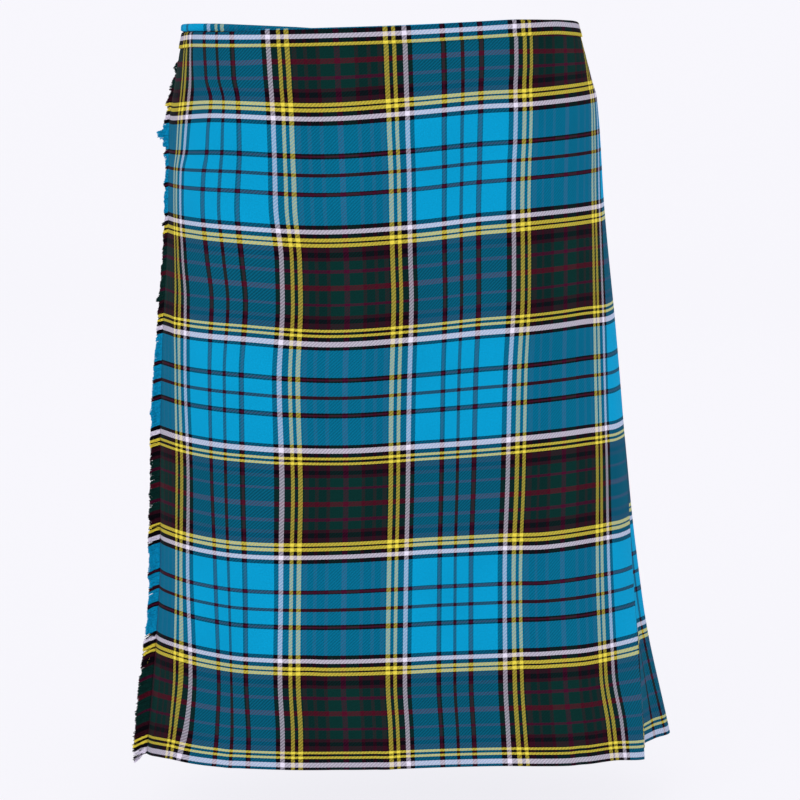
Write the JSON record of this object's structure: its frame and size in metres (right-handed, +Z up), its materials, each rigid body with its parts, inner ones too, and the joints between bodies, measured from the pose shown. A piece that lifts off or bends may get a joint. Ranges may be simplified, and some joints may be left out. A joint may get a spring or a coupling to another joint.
{
  "type": "scottish kilt",
  "caption": "Pleated tartan wrap kilt, hollow as worn: a flat front apron with a frayed edge, knife pleats round the back, a narrow waistband, and leather straps with steel buckles.",
  "frame": {"origin": "on the wearer's waist, at the middle of the body, 40 mm below the middle of the kilt's top edge", "axes": "+Z up the wearer's body, -Y out through the front apron, +X towards the wearer's left"},
  "size_m": [0.4799, 0.2949, 0.6387],
  "materials": {
    "tartan_wool": "matt woven wool",
    "frayed_wool": "matt loose yarn",
    "leather": "smooth black",
    "plated_steel": "polished plate"
  },
  "bodies": {
    "root": {"over_apron": "tartan_wool", "under_apron": "tartan_wool", "deep_pleat": "tartan_wool", "pleats_left": "tartan_wool", "pleats_right": "tartan_wool", "waistband": "tartan_wool", "fringe": "frayed_wool", "strap_left": "leather", "strap_right": "leather", "tab_left": "leather", "tab_right": "leather", "keeper_left": "leather", "keeper_right": "leather", "buckle_left": "plated_steel", "buckle_right": "plated_steel", "prong_left": "plated_steel", "prong_right": "plated_steel"}
  },
  "joints": []
}
